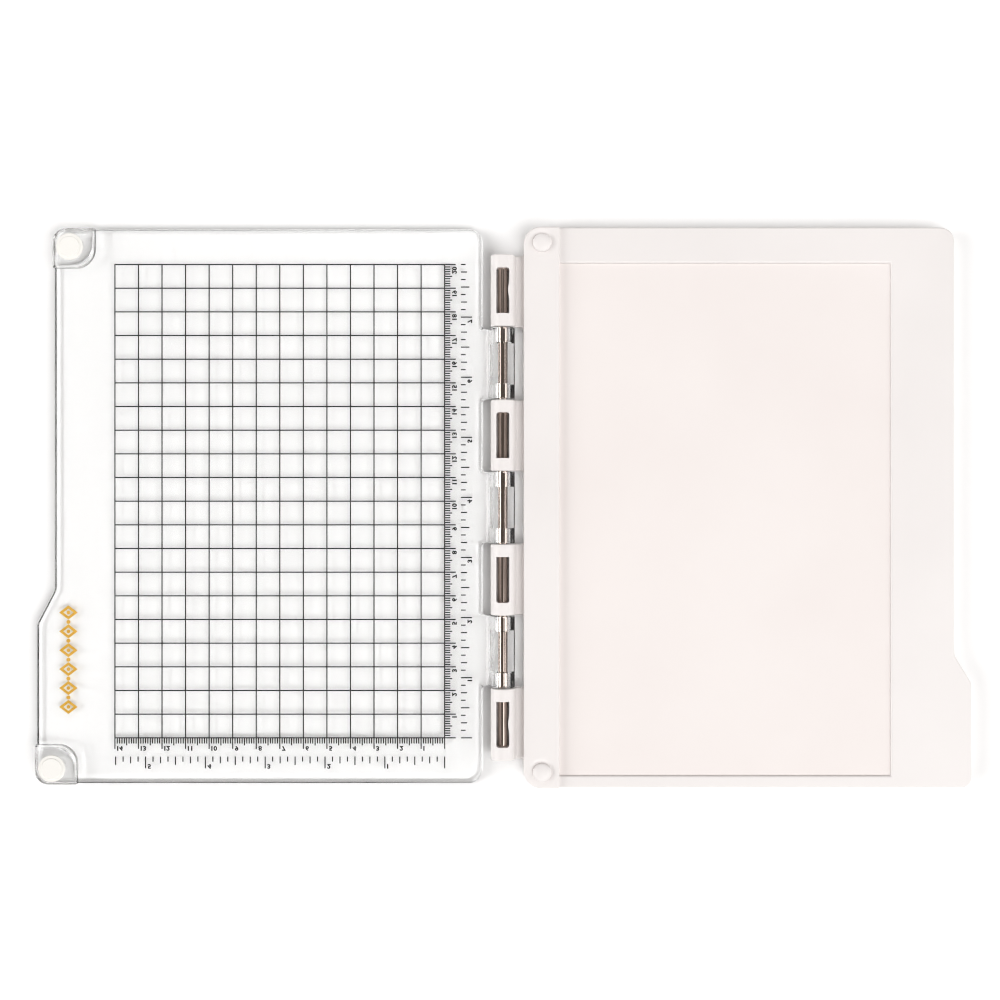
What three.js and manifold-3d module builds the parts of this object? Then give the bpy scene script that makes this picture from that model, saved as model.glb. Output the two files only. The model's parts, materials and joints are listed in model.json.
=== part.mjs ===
// A hinged stamp-positioning platform, lying open flat. On the right is a white base
// board with a work surface let into its deck. On the left is a clear lid with two
// padded corner bosses. They fold on a steel rod through seven interleaved knuckles.
// Units are millimetres, +Z is up and +Y runs along the hinge. The origin is on the
// table, under the middle of the hinge rod.

import * as THREE from "three";
import { mergeVertices } from "three/addons/utils/BufferGeometryUtils.js";
import Module from "manifold-3d";

const wasm = await Module();
wasm.setup();

// ---------------------------------------------------------------- driving dimensions

// Hinge
const AXIS_HEIGHT = 8; // half of the closed height
const HINGE_LENGTH = 212.2;
const KNUCKLE_COUNT = 7; // counted from +Y: even places on the base, odd on the lid
const KNUCKLE_GAP = 0.4;
const KNUCKLE_RADIUS = 5.1;
const ROD_RADIUS = 2;
const BORE_RADIUS = 2.08;
const LEAF_EDGE = 8.75; // from the axis to the edge of the spine and of the lid plate
const WINDOW = { length: 19.2, width: 5.45, corner: 1, depth: 2.9 }; // in the top of a base knuckle
const LATCH_BULGE = { depth: 0.5, length: 9.2, fromEnd: 9.4 };
const LID_SLOT = { length: 17.4, flatHeight: 11.6 }; // in the top of a lid knuckle
const WEB = { bottom: 2.9, top: 6.2, knuckleFillet: 1.5, leafFillet: 1.2, cornerFillet: 1 };
const LEAF_OVERLAP = 0.75; // how far a knuckle's web runs into its own leaf
const LID_HEEL = 2.4; // from the axis to where the lid's lower face ends
const LID_KEEL = { x: 2.2, height: 4.2 }; // highest point of a lid knuckle's sloped underside
const LID_TOE = 2.5; // height of a lid knuckle's lowest outer corner
const LID_FILLET = 3; // between a lid knuckle's barrel and the lid's top
const LID_NOTCH_FILLET = 1.75;
const PLUG_RADIUS = 3;
const PLUG_DEPTH = 2.5;
const FIT = 0.1; // clearance round a peg, plug or screw

// Base board
const BASE_BOTTOM = 1.25;
const DECK_TOP = 8;
const SPINE_TOP = 10.1;
const SPINE_EDGE = 23.75;
const HALF_LENGTH = 118;
const BASE_EDGE = 190.3;
const TAB_EDGE = 197.5;
const BASE_TAB = { start: -62.3, end: -74.1 };
const BASE_CORNER_RADII = { spine: 7.3, upper: 6, lower: 4.2 };
const EDGE_CHAMFER = 0.6;

// Work surface: a sheet steel keeper and a face mat in a 5.5 x 8.5 inch pocket
const POCKET = { x: 23.75, y: -113, width: 139.7, length: 215.9, floor: 5.5 };
const STEEL_THICKNESS = 0.75;
const MAT_THICKNESS = 0.75;
const SHEET_MARGIN = 0.25;

// Underside of the base
const COVER_INSET = 2.4;
const COVER_THICKNESS = 1.5;
const RELIEF_INSET = 7;
const RELIEF_DEPTH = 1.5;
const POST_RADIUS = 4;
const SPINE_POCKET = { x: [12, 20.5], ceiling: 8.35 };
const MARGIN_POCKET = { x: [168, 185], ceiling: 6.25 };
const POCKET_ENDS = [10, 78]; // each deep pocket lies this far from the middle of the hinge
const SCREW_PLACES = [16.25, 180].flatMap((x) => [-88, 0, 88].map((y) => [x, y]));
const SCREW = { headRadius: 2.5, headHeight: 0.75, shankRadius: 1.25, length: 4.25 };
const FOOT_PLACES = [24, 180].flatMap((x) => [-106, 106].map((y) => [x, y]));
const FOOT_RADIUS = 6;

// Bumpers on the spine
const BUMPER_PLACES = [[16.5, 111.2], [16.5, -111.2]];
const BUMPER = { radius: 3.9, stemRadius: 2, stemBottom: 5.5, top: 11.9 };
const BUMPER_DISH = { radius: 5.6, depth: 0.35 };

// Lid
const LID_THICKNESS = 4;
const LID_EDGE = 190;
const LID_LOW = -117;
const LID_HIGH = 118;
const LID_TAB = { start: -35.1, end: -49.4 };
const LID_HINGE_CORNER = 5.75;
const LID_CORNER = 5.7;
const RIM_CHAMFER = 0.4;
const BOSS_TOP = 7;
const BOSS_INNER_CORNER = 8.2;
const BOSS_SIZE = { width: 17.7, length: 16.9 };
const BOSS_POCKET = { wall: 1.6, corner: 9, height: 2.4 }; // in the underside of a boss
const PAD_PLACES = [[-182.7, 110], [-190.2, -110.1]];
const PAD = { radius: 5.7, discRadius: 4.3, rim: 0.5, proud: 0.9, stemRadius: 2.4, stemBottom: 3.5 };

// Both ends of the tab slope share this rounding
const TAB_RADIUS = 5;

// Facets: steps in a quarter-turn corner, and sides of large and small full circles
const CORNER_STEPS = 5;
const ROUND_SIDES = 24;
const SMALL_SIDES = 12;
const BARREL_STEPS = 20;

// ---------------------------------------------------------------- solids and outlines

// Turns a closed three.js geometry into a solid that can be cut and joined
function solid(geometry) {
  const bare = geometry.clone();
  bare.deleteAttribute("normal");
  bare.deleteAttribute("uv");
  const merged = mergeVertices(bare, 1e-4);
  return new wasm.Manifold(new wasm.Mesh({
    numProp: 3,
    vertProperties: merged.attributes.position.array,
    triVerts: new Uint32Array(merged.index.array),
  }));
}

// Turns a solid back into a flat-shaded three.js geometry
function geometryOf(body) {
  const mesh = body.getMesh();
  const indexed = new THREE.BufferGeometry();
  indexed.setAttribute("position", new THREE.BufferAttribute(mesh.vertProperties, 3));
  indexed.setIndex(new THREE.BufferAttribute(mesh.triVerts, 1));
  const geometry = indexed.toNonIndexed();
  geometry.computeVertexNormals();
  return geometry;
}

function box(low, high) {
  const size = high.map((value, axis) => value - low[axis]);
  const middle = high.map((value, axis) => (value + low[axis]) / 2);
  return solid(new THREE.BoxGeometry(...size).translate(...middle));
}

// A solid turned about an upright line; profile points are [radius, height]
function turned([x, y], profile, sides = ROUND_SIDES) {
  const points = profile.map(([radius, height]) => new THREE.Vector2(radius, height));
  const lathe = new THREE.LatheGeometry(points, sides);
  return solid(lathe.rotateX(Math.PI / 2).translate(x, y, 0));
}

function uprightCylinder(place, radius, low, high) {
  return turned(place, [[0, low], [radius, low], [radius, high], [0, high]], SMALL_SIDES);
}

// A cylinder round the hinge axis between two places along it
function hingeCylinder(radius, low, high) {
  const cylinder = new THREE.CylinderGeometry(radius, radius, high - low, ROUND_SIDES);
  return solid(cylinder.translate(0, (low + high) / 2, AXIS_HEIGHT));
}

// Points on an arc, both ends included
function arc([x, y], radius, from, to, steps = CORNER_STEPS) {
  return Array.from({ length: steps + 1 }, (_, i) => {
    const angle = from + ((to - from) * i) / steps;
    return [x + radius * Math.cos(angle), y + radius * Math.sin(angle)];
  });
}

// Outline through anticlockwise corners [x, y, radius], each rounded by its radius
function rounded(corners) {
  return corners.flatMap(([x, y, radius], i) => {
    if (radius === 0) {
      return [[x, y]];
    }
    const corner = new THREE.Vector2(x, y);
    const before = corners.at(i - 1);
    const after = corners[(i + 1) % corners.length];
    const back = new THREE.Vector2(before[0], before[1]).sub(corner).normalize();
    const ahead = new THREE.Vector2(after[0], after[1]).sub(corner).normalize();
    const halfAngle = Math.acos(back.dot(ahead)) / 2;
    const turn = (Math.PI - 2 * halfAngle) * (back.cross(ahead) > 0 ? -1 : 1);
    const centre = back.clone().add(ahead).setLength(radius / Math.sin(halfAngle)).add(corner);
    const touch = back.clone().setLength(radius / Math.tan(halfAngle)).add(corner);
    const start = touch.sub(centre).angle();
    return arc([centre.x, centre.y], radius, start, start + turn);
  });
}

// The same corners with every edge moved inward
function inset(corners, distance) {
  const direction = (from, to) => new THREE.Vector2(to[0] - from[0], to[1] - from[1]).normalize();
  const inward = (edge) => new THREE.Vector2(-edge.y, edge.x);
  return corners.map((corner, i) => {
    const before = direction(corners.at(i - 1), corner);
    const after = direction(corner, corners[(i + 1) % corners.length]);
    const normals = [inward(before), inward(after)];
    const scale = distance / (1 + normals[0].dot(normals[1]));
    const shift = normals[0].add(normals[1]).multiplyScalar(scale);
    const radius = before.cross(after) > 0 ? Math.max(corner[2] - distance, 1) : corner[2] + distance;
    return [corner[0] + shift.x, corner[1] + shift.y, radius];
  });
}

// A flat plate of an outline between two heights, with both its rims chamfered
function plate(outline, low, high, chamfer = 0) {
  const shape = new THREE.Shape(outline.map(([x, y]) => new THREE.Vector2(x, y)));
  const geometry = new THREE.ExtrudeGeometry(shape, {
    depth: high - low - 2 * chamfer,
    bevelEnabled: chamfer > 0,
    bevelThickness: chamfer,
    bevelSize: chamfer,
    bevelOffset: -chamfer,
    bevelSegments: 1,
  });
  return solid(geometry.translate(0, 0, low + chamfer));
}

// A solid of one [x, z] profile that runs along the hinge between two places
function alongHinge(profile, low, high) {
  const shape = new THREE.Shape(profile.map(([x, z]) => new THREE.Vector2(x, z)));
  const geometry = new THREE.ExtrudeGeometry(shape, { depth: high - low, bevelEnabled: false });
  return solid(geometry.rotateX(Math.PI / 2).translate(0, high, 0));
}

// ---------------------------------------------------------------- hinge knuckles

const ALL_PLACES = Array.from({ length: KNUCKLE_COUNT }, (_, place) => place);
const BASE_PLACES = ALL_PLACES.filter((place) => place % 2 === 0);
const LID_PLACES = ALL_PLACES.filter((place) => place % 2 === 1);

// Where a knuckle lies along the hinge; the outer two reach its very ends
function knuckleSpan(place) {
  const pitch = HINGE_LENGTH / KNUCKLE_COUNT;
  const top = HINGE_LENGTH / 2 - place * pitch;
  const high = place === 0 ? top : top - KNUCKLE_GAP / 2;
  const low = place === KNUCKLE_COUNT - 1 ? top - pitch : top - pitch + KNUCKLE_GAP / 2;
  return { low, high, middle: top - pitch / 2 };
}

// Base knuckle: a round barrel that runs by two fillets and a flat web to the spine wall
function baseKnuckleProfile() {
  const filletHeight = WEB.top + WEB.knuckleFillet;
  const reach = KNUCKLE_RADIUS + WEB.knuckleFillet;
  const drop = AXIS_HEIGHT - filletHeight;
  const filletCentre = [Math.sqrt(reach ** 2 - drop ** 2), filletHeight];
  const touch = Math.atan2(-drop, filletCentre[0]);
  const wallCentre = [LEAF_EDGE - WEB.leafFillet, WEB.top + WEB.leafFillet];
  const inSpine = LEAF_EDGE + LEAF_OVERLAP;
  return [
    [inSpine, WEB.bottom],
    [inSpine, wallCentre[1]],
    ...arc(wallCentre, WEB.leafFillet, 0, -Math.PI / 2, 3),
    ...arc(filletCentre, WEB.knuckleFillet, -Math.PI / 2, touch - Math.PI, 3),
    ...arc([0, AXIS_HEIGHT], KNUCKLE_RADIUS, touch, (3 * Math.PI) / 2, BARREL_STEPS).slice(1),
  ];
}

// Lid knuckle: the barrel runs down a wide fillet to the lid's top on one side, and down
// an upright wall to a sloped underside on the other
function lidKnuckleProfile() {
  const inPlate = -LEAF_EDGE - LEAF_OVERLAP;
  const axis = [0, AXIS_HEIGHT];
  const filletHeight = LID_THICKNESS + LID_FILLET;
  const reach = KNUCKLE_RADIUS + LID_FILLET;
  const drop = AXIS_HEIGHT - filletHeight;
  const filletCentre = [-Math.sqrt(reach ** 2 - drop ** 2), filletHeight];
  const touch = Math.PI + Math.atan2(drop, -filletCentre[0]);
  return [
    [inPlate, 0],
    [-LID_HEEL, 0],
    [LID_KEEL.x, LID_KEEL.height],
    [KNUCKLE_RADIUS, LID_TOE],
    ...arc(axis, KNUCKLE_RADIUS, 0, touch, BARREL_STEPS),
    ...arc(filletCentre, LID_FILLET, touch - Math.PI, -Math.PI / 2, 4).slice(1),
    [inPlate, LID_THICKNESS],
  ];
}

// Rounds off the inside corners between a leaf's straight edge and one of its webs
function webFoot(side, span, radius, low, high) {
  const inLeaf = side * (LEAF_EDGE + LEAF_OVERLAP);
  const filletX = side * (LEAF_EDGE - radius);
  const quarter = (y, fromWeb) => {
    const webAngle = fromWeb > 0 ? -Math.PI / 2 : Math.PI / 2;
    return arc([filletX, y], radius, webAngle, side > 0 ? 0 : -fromWeb * Math.PI, 4);
  };
  const upper = quarter(span.high + radius, 1);
  const lower = quarter(span.low - radius, -1).reverse();
  const outline = [...upper, [inLeaf, span.high + radius], [inLeaf, span.low - radius], ...lower];
  return plate(side > 0 ? outline.reverse() : outline, low, high);
}

// Opening in the top of a base knuckle: rounded at its outer end, and narrowed at one
// side by a latch bulge in the outermost two
function knuckleWindow(place) {
  const { middle } = knuckleSpan(place);
  const half = WINDOW.width / 2;
  const low = middle - WINDOW.length / 2;
  const high = middle + WINDOW.length / 2;
  const outerRound = middle > 0 ? [0, WINDOW.corner] : [WINDOW.corner, 0];
  const outline = rounded([
    [-half, low, outerRound[0]],
    [half, low, outerRound[0]],
    [half, high, outerRound[1]],
    [-half, high, outerRound[1]],
  ]);
  const window = plate(outline, AXIS_HEIGHT - WINDOW.depth, AXIS_HEIGHT + 2 * KNUCKLE_RADIUS);
  const outermost = place === 0 || place === KNUCKLE_COUNT - 1;
  return outermost ? window.subtract(latchBulge(high - LATCH_BULGE.fromEnd)) : window;
}

// A low smooth hump on the spine side of a window
function latchBulge(middle) {
  const wall = WINDOW.width / 2;
  const steps = 8;
  const hump = Array.from({ length: steps + 1 }, (_, i) => {
    const along = i / steps - 0.5;
    const rise = LATCH_BULGE.depth * Math.cos(Math.PI * along) ** 2;
    return [wall - rise, middle - along * LATCH_BULGE.length];
  });
  const beyond = wall + 1;
  const outline = [[beyond, middle - LATCH_BULGE.length / 2], [beyond, middle + LATCH_BULGE.length / 2]];
  return plate([...outline, ...hump], AXIS_HEIGHT - 1, AXIS_HEIGHT + 3 * KNUCKLE_RADIUS);
}

// A base knuckle is cored from above in the middle and from below at its ends, so that it
// can be moulded without a side core; a closed collar is kept where a plug is seated
function endCores(span, coreLength, collars) {
  const half = coreLength / 2;
  const core = (low, high) => box([-BORE_RADIUS, low, -1], [BORE_RADIUS, high, AXIS_HEIGHT]);
  const lowEnd = collars.low ? span.low + PLUG_DEPTH + 1 : span.low - 1;
  const highEnd = collars.high ? span.high - PLUG_DEPTH - 1 : span.high + 1;
  return core(lowEnd, span.middle - half).add(core(span.middle + half, highEnd));
}

function baseKnuckle(place) {
  const span = knuckleSpan(place);
  const collars = { low: place === KNUCKLE_COUNT - 1, high: place === 0 };
  return alongHinge(baseKnuckleProfile(), span.low, span.high)
    .add(webFoot(1, span, WEB.cornerFillet, WEB.bottom, WEB.top))
    .subtract(knuckleWindow(place))
    .subtract(endCores(span, WINDOW.length, collars));
}

// The middle of a lid knuckle is slotted from above down to the rod, and flat underneath
function lidKnuckle(place) {
  const span = knuckleSpan(place);
  const half = LID_SLOT.length / 2;
  const top = AXIS_HEIGHT + 2 * KNUCKLE_RADIUS;
  const wide = 2 * KNUCKLE_RADIUS;
  const low = span.middle - half;
  const high = span.middle + half;
  const flat = box([-wide, low, LID_SLOT.flatHeight], [wide, high, top]);
  const slot = box([-BORE_RADIUS, low, AXIS_HEIGHT], [BORE_RADIUS, high, top]);
  const keel = box([-LID_HEEL, low, -1], [wide, high, LID_KEEL.height]);
  return alongHinge(lidKnuckleProfile(), span.low, span.high)
    .add(webFoot(-1, span, LID_NOTCH_FILLET, 0, LID_THICKNESS))
    .subtract(wasm.Manifold.union([flat, slot, keel]));
}

// ---------------------------------------------------------------- base board

const COVER_TOP = BASE_BOTTOM + COVER_THICKNESS;

function baseCorners() {
  const radii = BASE_CORNER_RADII;
  return [
    [LEAF_EDGE, -HALF_LENGTH, radii.spine],
    [TAB_EDGE, -HALF_LENGTH, radii.lower],
    [TAB_EDGE, BASE_TAB.end, TAB_RADIUS],
    [BASE_EDGE, BASE_TAB.start, TAB_RADIUS],
    [BASE_EDGE, HALF_LENGTH, radii.upper],
    [LEAF_EDGE, HALF_LENGTH, radii.spine],
  ];
}

function spineBar() {
  const outline = rounded([
    [LEAF_EDGE, -HALF_LENGTH, BASE_CORNER_RADII.spine],
    [SPINE_EDGE, -HALF_LENGTH, 0],
    [SPINE_EDGE, HALF_LENGTH, 0],
    [LEAF_EDGE, HALF_LENGTH, BASE_CORNER_RADII.spine],
  ]);
  return plate(outline, BASE_BOTTOM, SPINE_TOP, EDGE_CHAMFER);
}

function workPocket() {
  const { x, y, width, length, floor } = POCKET;
  return box([x, y, floor], [x + width, y + length, DECK_TOP + 1]);
}

// Hollow in the underside: a rebate for the cover, a shallow relief above it with posts
// left for the screws, and deeper pockets under the spine and the free-edge margin
function undersideHollow() {
  const rebate = plate(rounded(inset(baseCorners(), COVER_INSET)), 0, COVER_TOP);
  const reliefTop = COVER_TOP + RELIEF_DEPTH;
  const relief = plate(rounded(inset(baseCorners(), RELIEF_INSET)), BASE_BOTTOM, reliefTop);
  const pockets = [-1, 1].flatMap((side) => {
    const [low, high] = POCKET_ENDS.map((end) => side * end).sort((a, b) => a - b);
    return [SPINE_POCKET, MARGIN_POCKET].map(({ x, ceiling }) =>
      box([x[0], low, BASE_BOTTOM], [x[1], high, ceiling]));
  });
  const posts = SCREW_PLACES.map((at) => uprightCylinder(at, POST_RADIUS, COVER_TOP, DECK_TOP));
  return rebate.add(relief.add(wasm.Manifold.union(pockets)).subtract(wasm.Manifold.union(posts)));
}

function baseHoles() {
  const screwTop = BASE_BOTTOM + SCREW.headHeight + SCREW.length + 0.4;
  const screws = SCREW_PLACES.map((at) =>
    uprightCylinder(at, SCREW.shankRadius + FIT, COVER_TOP - 1, screwTop));
  const bumpers = BUMPER_PLACES.map((at) => turned(at, [
    [0, BUMPER.stemBottom],
    [BUMPER.stemRadius + FIT, BUMPER.stemBottom],
    [BUMPER.stemRadius + FIT, SPINE_TOP - BUMPER_DISH.depth],
    [BUMPER.radius + FIT, SPINE_TOP - BUMPER_DISH.depth],
    [BUMPER_DISH.radius, SPINE_TOP],
    [BUMPER_DISH.radius, SPINE_TOP + 1],
    [0, SPINE_TOP + 1],
  ]));
  const half = HINGE_LENGTH / 2;
  const bore = hingeCylinder(BORE_RADIUS, -half - 1, half + 1);
  const seats = [hingeCylinder(PLUG_RADIUS, half - PLUG_DEPTH, half + 1),
    hingeCylinder(PLUG_RADIUS, -half - 1, PLUG_DEPTH - half)];
  return wasm.Manifold.union([...screws, ...bumpers, bore, ...seats]);
}

function baseTray() {
  const deck = plate(rounded(baseCorners()), BASE_BOTTOM, DECK_TOP, EDGE_CHAMFER);
  return wasm.Manifold.union([deck, spineBar(), ...BASE_PLACES.map(baseKnuckle)])
    .subtract(workPocket())
    .subtract(undersideHollow())
    .subtract(baseHoles());
}

function bottomCover() {
  const panel = plate(rounded(inset(baseCorners(), COVER_INSET + FIT)), BASE_BOTTOM, COVER_TOP);
  const headRoom = BASE_BOTTOM + SCREW.headHeight;
  const holes = SCREW_PLACES.map((at) => turned(at, [
    [0, 0],
    [SCREW.headRadius + 2 * FIT, 0],
    [SCREW.headRadius + 2 * FIT, headRoom],
    [SCREW.shankRadius + FIT, headRoom],
    [SCREW.shankRadius + FIT, COVER_TOP + 1],
    [0, COVER_TOP + 1],
  ], SMALL_SIDES));
  return panel.subtract(wasm.Manifold.union(holes));
}

function workSheet(bottom, thickness) {
  const { x, y, width, length } = POCKET;
  const low = [x + SHEET_MARGIN, y + SHEET_MARGIN, bottom];
  return box(low, [x + width - SHEET_MARGIN, y + length - SHEET_MARGIN, bottom + thickness]);
}

// Pan-head screw, head down, with a cross recess
function coverScrew(place) {
  const [x, y] = place;
  const low = BASE_BOTTOM;
  const seat = low + SCREW.headHeight;
  const tip = seat + SCREW.length;
  const turnedScrew = turned(place, [
    [0, low],
    [SCREW.headRadius - 0.4, low],
    [SCREW.headRadius, low + 0.3],
    [SCREW.headRadius, seat],
    [SCREW.shankRadius, seat],
    [SCREW.shankRadius, tip - 0.8],
    [0.4, tip],
    [0, tip],
  ], SMALL_SIDES);
  const arm = (halfX, halfY) => box([x - halfX, y - halfY, 0], [x + halfX, y + halfY, low + 0.5]);
  return turnedScrew.subtract(arm(1.4, 0.3).add(arm(0.3, 1.4)));
}

function foot(place) {
  const chamfer = 0.5;
  return turned(place, [
    [0, 0],
    [FOOT_RADIUS - chamfer, 0],
    [FOOT_RADIUS, chamfer],
    [FOOT_RADIUS, BASE_BOTTOM],
    [0, BASE_BOTTOM],
  ]);
}

// Domed peg that the closed lid comes down on
function spineBumper(place) {
  const seat = SPINE_TOP - BUMPER_DISH.depth;
  const shoulder = BUMPER.top - 1.2;
  const dome = arc([0, 0], 1, 0, Math.PI / 2, 4).map(([across, up]) =>
    [BUMPER.radius * across, shoulder + (BUMPER.top - shoulder) * up]);
  dome.at(-1)[0] = 0;
  return turned(place, [
    [0, BUMPER.stemBottom + FIT],
    [BUMPER.stemRadius, BUMPER.stemBottom + FIT],
    [BUMPER.stemRadius, seat],
    [BUMPER.radius, seat],
    ...dome,
  ]);
}

// ---------------------------------------------------------------- lid

function lidCorners() {
  return [
    [-LEAF_EDGE, LID_LOW, LID_HINGE_CORNER],
    [-LEAF_EDGE, LID_HIGH, LID_HINGE_CORNER],
    [-LID_EDGE, LID_HIGH, LID_CORNER],
    [-LID_EDGE, LID_TAB.start, TAB_RADIUS],
    [-TAB_EDGE, LID_TAB.end, TAB_RADIUS],
    [-TAB_EDGE, LID_LOW, LID_CORNER],
  ];
}

// A corner boss is flush with both edges of the lid, and rounded at its outer and inner corners
function bossCorners(innerCorner) {
  const { width, length } = BOSS_SIZE;
  const upper = [
    [-LID_EDGE, LID_HIGH - length, 0],
    [-LID_EDGE + width, LID_HIGH - length, innerCorner],
    [-LID_EDGE + width, LID_HIGH, 0],
    [-LID_EDGE, LID_HIGH, LID_CORNER],
  ];
  const lower = [
    [-TAB_EDGE, LID_LOW, LID_CORNER],
    [-TAB_EDGE + width, LID_LOW, 0],
    [-TAB_EDGE + width, LID_LOW + length, innerCorner],
    [-TAB_EDGE, LID_LOW + length, 0],
  ];
  return [upper, lower];
}

function cornerBosses() {
  return bossCorners(BOSS_INNER_CORNER).map((corners) =>
    plate(rounded(corners), 1, BOSS_TOP, RIM_CHAMFER));
}

function bossPockets() {
  const { wall, corner, height } = BOSS_POCKET;
  return bossCorners(corner + wall).map((corners) =>
    plate(rounded(inset(corners, wall)), -1, height));
}

function lidPlate() {
  const panel = plate(rounded(lidCorners()), 0, LID_THICKNESS, RIM_CHAMFER);
  const pegHoles = PAD_PLACES.map((at) =>
    uprightCylinder(at, PAD.stemRadius + FIT, PAD.stemBottom, BOSS_TOP + 1));
  const bore = hingeCylinder(BORE_RADIUS, -HINGE_LENGTH / 2, HINGE_LENGTH / 2);
  return wasm.Manifold.union([panel, ...cornerBosses(), ...LID_PLACES.map(lidKnuckle)])
    .subtract(wasm.Manifold.union([...pegHoles, ...bossPockets(), bore]));
}

// Push-in pad with a raised middle disc, which keeps the closed lid off the deck
function cornerPad(place) {
  const top = BOSS_TOP + PAD.proud;
  return turned(place, [
    [0, PAD.stemBottom + FIT],
    [PAD.stemRadius, PAD.stemBottom + FIT],
    [PAD.stemRadius, BOSS_TOP],
    [PAD.radius, BOSS_TOP],
    [PAD.radius, BOSS_TOP + PAD.rim - 0.2],
    [PAD.radius - 0.3, BOSS_TOP + PAD.rim],
    [PAD.discRadius + 0.3, BOSS_TOP + PAD.rim],
    [PAD.discRadius, top - 0.1],
    [PAD.discRadius - 0.3, top],
    [0, top],
  ]);
}

// ---------------------------------------------------------------- rod

function hingeRod() {
  const half = HINGE_LENGTH / 2 - PLUG_DEPTH - FIT;
  return hingeCylinder(ROD_RADIUS, -half, half);
}

function rodPlug(side) {
  const ends = [side * (HINGE_LENGTH / 2 - PLUG_DEPTH), side * (HINGE_LENGTH / 2 - FIT)];
  return hingeCylinder(PLUG_RADIUS - FIT, Math.min(...ends), Math.max(...ends));
}

// ---------------------------------------------------------------- materials

const whiteShell = new THREE.MeshStandardMaterial({ color: 0xf1edea, roughness: 0.42, metalness: 0 });
const whiteMat = new THREE.MeshStandardMaterial({ color: 0xf3ece8, roughness: 0.6, metalness: 0 });
const whitePad = new THREE.MeshStandardMaterial({ color: 0xfdfcf8, roughness: 0.5, metalness: 0 });
const clearAcrylic = new THREE.MeshStandardMaterial({
  color: 0xf4f6f7,
  roughness: 0.06,
  metalness: 0,
  transparent: true,
  opacity: 0.35,
});
const polishedSteel = new THREE.MeshStandardMaterial({ color: 0xb5aba3, roughness: 0.18, metalness: 1 });
const sheetSteel = new THREE.MeshStandardMaterial({ color: 0x9c9c9c, roughness: 0.45, metalness: 1 });
const rubber = new THREE.MeshStandardMaterial({ color: 0xd9d6d2, roughness: 0.85, metalness: 0 });

// ---------------------------------------------------------------- assembly

const platform = new THREE.Group();
platform.name = "stamp_platform";

function addPart(name, body, material) {
  const mesh = new THREE.Mesh(geometryOf(body), material);
  mesh.name = name;
  platform.add(mesh);
}

addPart("base_tray", baseTray(), whiteShell);
addPart("bottom_cover", bottomCover(), whiteShell);
addPart("steel_sheet", workSheet(POCKET.floor, STEEL_THICKNESS), sheetSteel);
addPart("work_mat", workSheet(POCKET.floor + STEEL_THICKNESS, MAT_THICKNESS), whiteMat);
addPart("hinge_rod", hingeRod(), polishedSteel);
addPart("rod_plug_upper", rodPlug(1), whiteShell);
addPart("rod_plug_lower", rodPlug(-1), whiteShell);
BUMPER_PLACES.forEach((at, i) => addPart(`spine_bumper_${i + 1}`, spineBumper(at), whiteShell));
FOOT_PLACES.forEach((at, i) => addPart(`rubber_foot_${i + 1}`, foot(at), rubber));
SCREW_PLACES.forEach((at, i) => addPart(`cover_screw_${i + 1}`, coverScrew(at), sheetSteel));
addPart("lid", lidPlate(), clearAcrylic);
PAD_PLACES.forEach((at, i) => addPart(`corner_pad_${i + 1}`, cornerPad(at), whitePad));

export default platform;
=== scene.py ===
"""Looks of the folding stamp platform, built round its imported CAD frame.

Shapes are worked out in millimetres and turned into metres when a mesh is made.
X runs from the hinge to the free edge of the white base, Y along the hinge, Z up.
"""

import json
import math

import bmesh
import bpy
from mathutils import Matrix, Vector


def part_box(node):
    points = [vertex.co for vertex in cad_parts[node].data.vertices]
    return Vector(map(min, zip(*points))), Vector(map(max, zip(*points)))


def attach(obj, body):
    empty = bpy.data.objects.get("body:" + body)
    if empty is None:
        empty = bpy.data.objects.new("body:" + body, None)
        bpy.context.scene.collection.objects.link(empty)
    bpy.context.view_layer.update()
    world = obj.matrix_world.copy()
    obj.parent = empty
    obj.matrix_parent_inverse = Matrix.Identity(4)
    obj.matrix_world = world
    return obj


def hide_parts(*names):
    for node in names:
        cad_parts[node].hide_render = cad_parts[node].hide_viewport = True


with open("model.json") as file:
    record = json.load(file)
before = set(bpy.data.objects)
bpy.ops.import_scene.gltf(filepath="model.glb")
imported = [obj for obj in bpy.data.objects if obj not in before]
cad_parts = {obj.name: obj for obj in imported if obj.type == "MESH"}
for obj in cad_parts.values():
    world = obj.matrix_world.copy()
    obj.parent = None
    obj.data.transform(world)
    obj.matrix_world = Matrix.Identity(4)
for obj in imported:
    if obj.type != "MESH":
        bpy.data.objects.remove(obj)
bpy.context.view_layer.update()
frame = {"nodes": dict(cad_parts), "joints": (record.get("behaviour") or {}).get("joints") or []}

MM = 0.001


def node_box(node):
    """A CAD node's lowest and highest corners, in millimetres."""
    low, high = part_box(node)
    return low / MM, high / MM


def node_centre(node):
    """The middle of a CAD node's box, in millimetres."""
    low, high = node_box(node)
    return (low + high) / 2


def nodes_named(start):
    """The names of the CAD nodes that start alike, in order."""
    return sorted(name for name in frame["nodes"] if name.startswith(start))


# ---------------------------------------------------------------- sizes from the frame

TRAY_LOW, TRAY_HIGH = node_box("base_tray")
LID_LOW, LID_HIGH = node_box("lid")
MAT_LOW, MAT_HIGH = node_box("work_mat")
COVER_LOW, COVER_HIGH = node_box("bottom_cover")
ROD_LOW, ROD_HIGH = node_box("hinge_rod")
AXIS_HEIGHT = frame["joints"][0]["pos_m"][2] / MM
ROD_RADIUS = (ROD_HIGH.x - ROD_LOW.x) / 2
HALF_LENGTH = TRAY_HIGH.y
TAB_EDGE = TRAY_HIGH.x
BASE_BOTTOM = TRAY_LOW.z

# ---------------------------------------------------------------- sizes, in millimetres

HINGE_LENGTH = 212.2
KNUCKLE_COUNT = 7
KNUCKLE_GAP = 0.4
KNUCKLE_RADIUS = 5.1
BORE_RADIUS = 2.08
LEAF_EDGE = 8.75
LEAF_OVERLAP = 0.75
KNUCKLE_RIM = 0.6
LID_KNUCKLE_RIM = 0.4

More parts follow.
